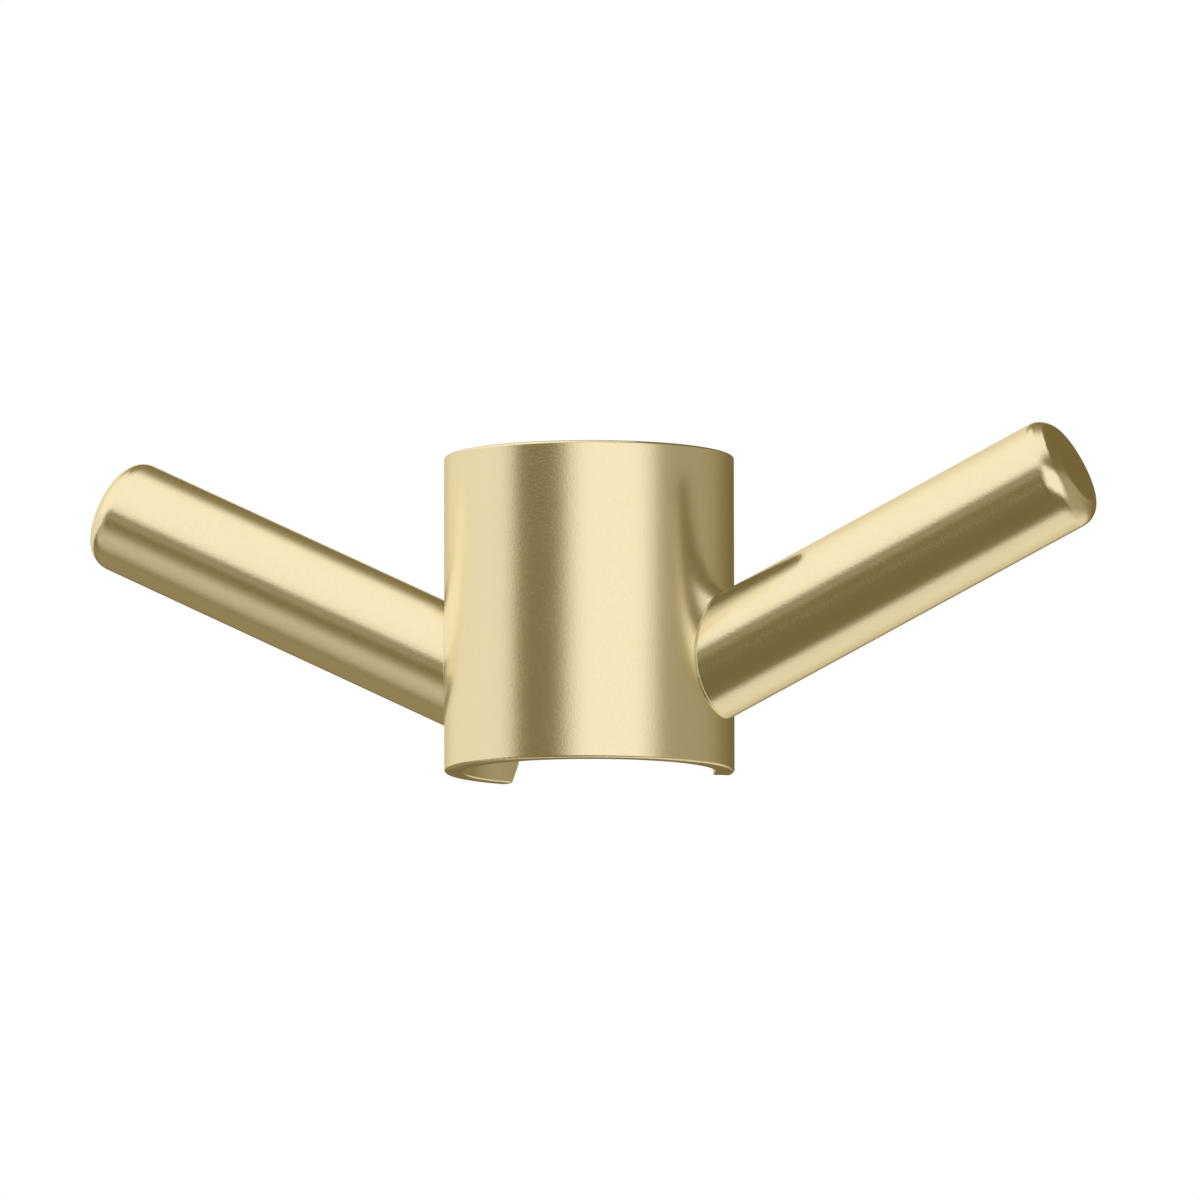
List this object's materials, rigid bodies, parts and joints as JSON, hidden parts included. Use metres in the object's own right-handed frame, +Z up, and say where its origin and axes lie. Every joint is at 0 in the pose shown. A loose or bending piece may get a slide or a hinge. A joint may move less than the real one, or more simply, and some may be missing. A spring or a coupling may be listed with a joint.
{
  "type": "rail hook",
  "caption": "Double hook for an upright round rail: a slotted tube sleeve that slides over the rail, with a plain round peg sloping up on each side.",
  "frame": {"origin": "on the rail's axis, level with the sleeve's lower rim", "axes": "+Z up along the rail, +Y out through the slot at the back, -X and +X along the left and right pegs seen from the front"},
  "size_m": [0.139, 0.03, 0.0433],
  "materials": {
    "brushed_gold_sleeve": "fine satin brushed, pale gold",
    "brushed_gold_peg": "fine satin brushed, pale gold"
  },
  "bodies": {
    "root": {"sleeve": "brushed_gold_sleeve", "left_peg": "brushed_gold_peg", "right_peg": "brushed_gold_peg"}
  },
  "joints": []
}
